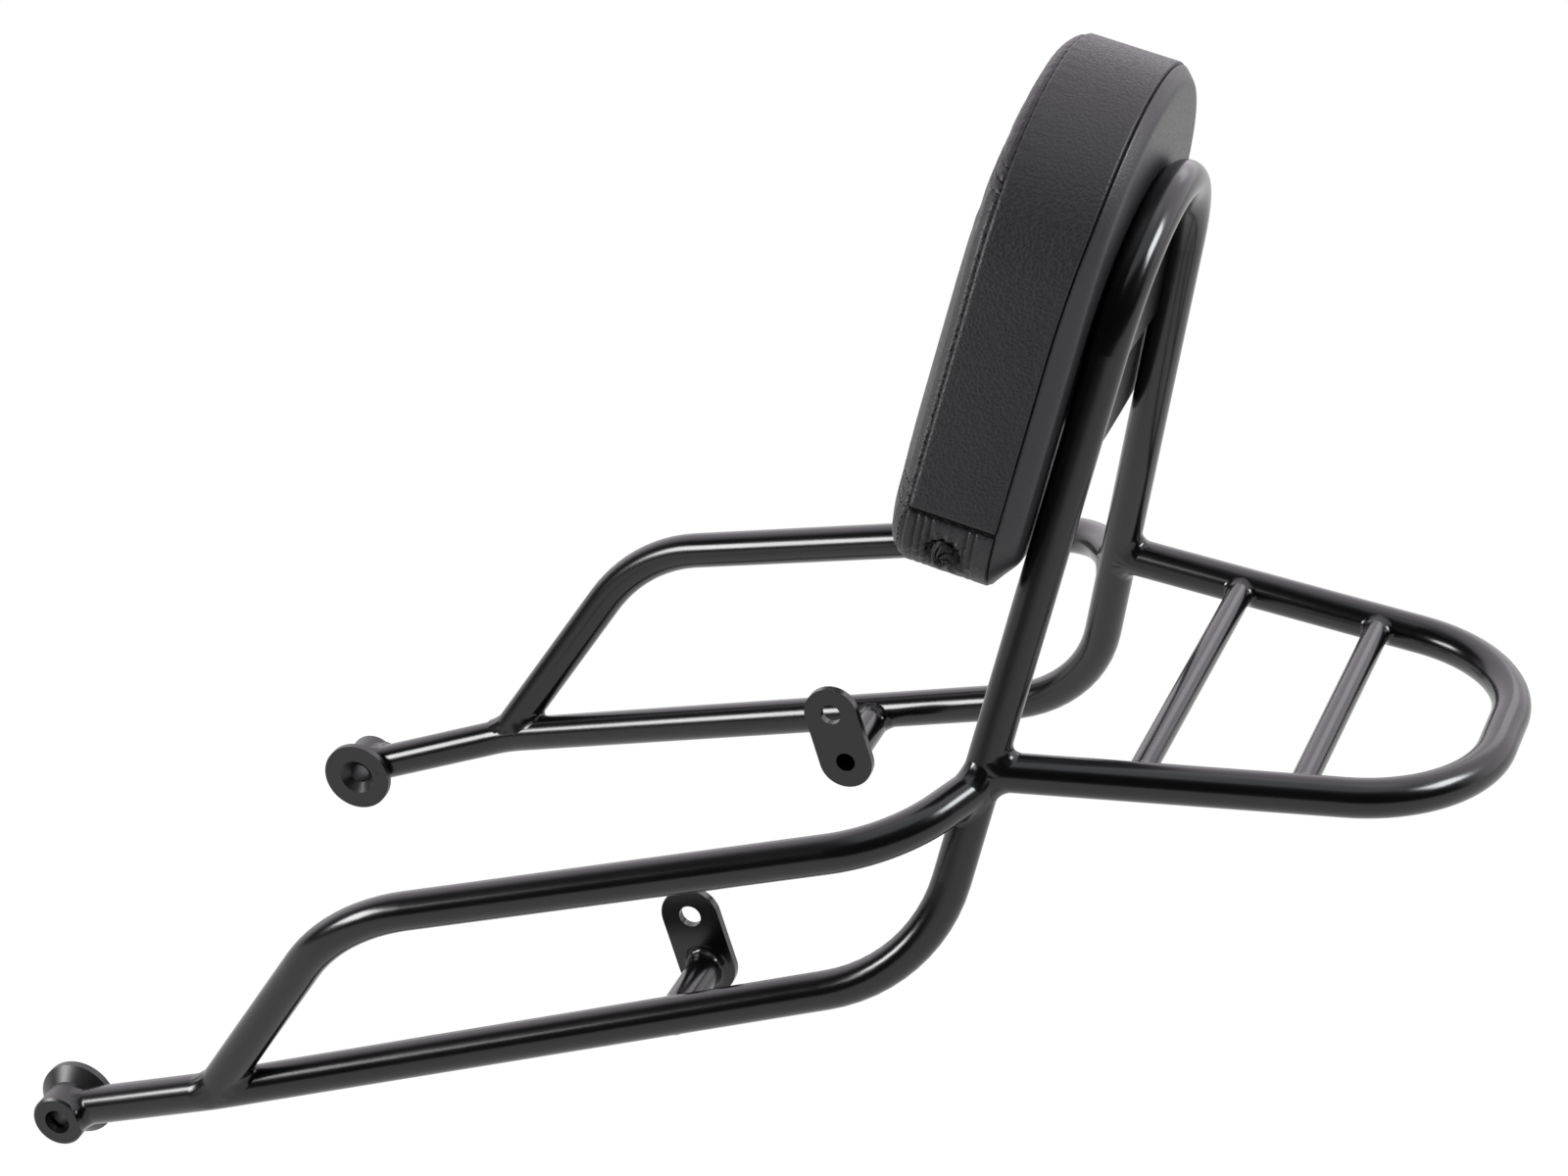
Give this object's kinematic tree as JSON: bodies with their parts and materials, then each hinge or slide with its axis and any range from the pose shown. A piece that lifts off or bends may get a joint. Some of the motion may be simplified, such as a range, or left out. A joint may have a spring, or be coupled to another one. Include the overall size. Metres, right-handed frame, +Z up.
{
  "type": "sissy bar",
  "caption": "Motorcycle sissy bar of bent black tube with grab rails, a rear luggage rack, bored front spools, drilled tab plates and a stitched vinyl back pad.",
  "frame": {"origin": "midway between the two front spools, on their common axis", "axes": "+X to the rear of the motorcycle, +Y to the rider's right, +Z up, with the rack level"},
  "size_m": [0.6675, 0.4022, 0.5559],
  "materials": {
    "black_frame": "gloss black powder coat",
    "black_vinyl": "pebble-grained black vinyl",
    "foam": "cut upholstery foam",
    "board": "plywood",
    "black_screws": "black zinc plated",
    "fasteners": "zinc plated"
  },
  "bodies": {
    "root": {"main_hoop": "black_frame", "left_grab_rail": "black_frame", "right_grab_rail": "black_frame", "rack_loop": "black_frame", "front_rack_bar": "black_frame", "rear_rack_bar": "black_frame", "left_front_spool": "black_frame", "right_front_spool": "black_frame", "left_tab_plate": "black_frame", "right_tab_plate": "black_frame", "left_tab_stub": "black_frame", "right_tab_stub": "black_frame", "pad_plate": "black_frame", "pad_front_cover": "black_vinyl", "pad_side_boxing": "black_vinyl", "pad_bottom_boxing": "black_vinyl", "pad_back_cover": "black_vinyl", "pad_foam": "foam", "pad_base_board": "board", "pad_screws": "black_screws", "pad_tee_nuts": "fasteners"}
  },
  "joints": []
}
